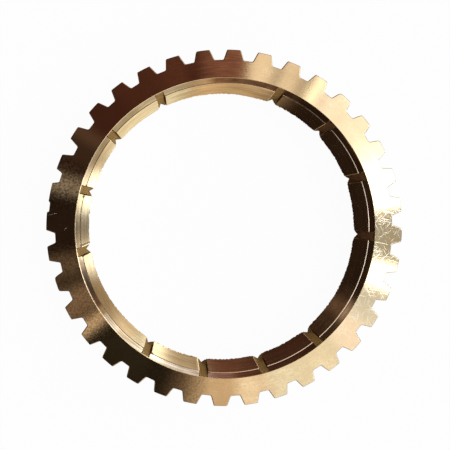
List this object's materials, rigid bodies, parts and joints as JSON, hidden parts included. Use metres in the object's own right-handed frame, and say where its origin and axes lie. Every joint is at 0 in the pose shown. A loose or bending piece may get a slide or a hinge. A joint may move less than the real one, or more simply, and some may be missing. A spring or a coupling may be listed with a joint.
{
  "type": "synchronizer ring",
  "caption": "Brass gearbox synchronizer ring: toothed flange, tapered bore with axial oil grooves, strut-key slots at the rear.",
  "frame": {"origin": "on the ring's axis, in the plane of the small rear face, which it rests on", "axes": "+Z along the ring's axis, from the small rear face to the flat toothed face; +Y through the first strut-key slot and a tooth gap"},
  "size_m": [0.0998, 0.0998, 0.0146],
  "materials": {
    "brass": "turned"
  },
  "bodies": {
    "root": {"synchronizer_ring": "brass"}
  },
  "joints": []
}
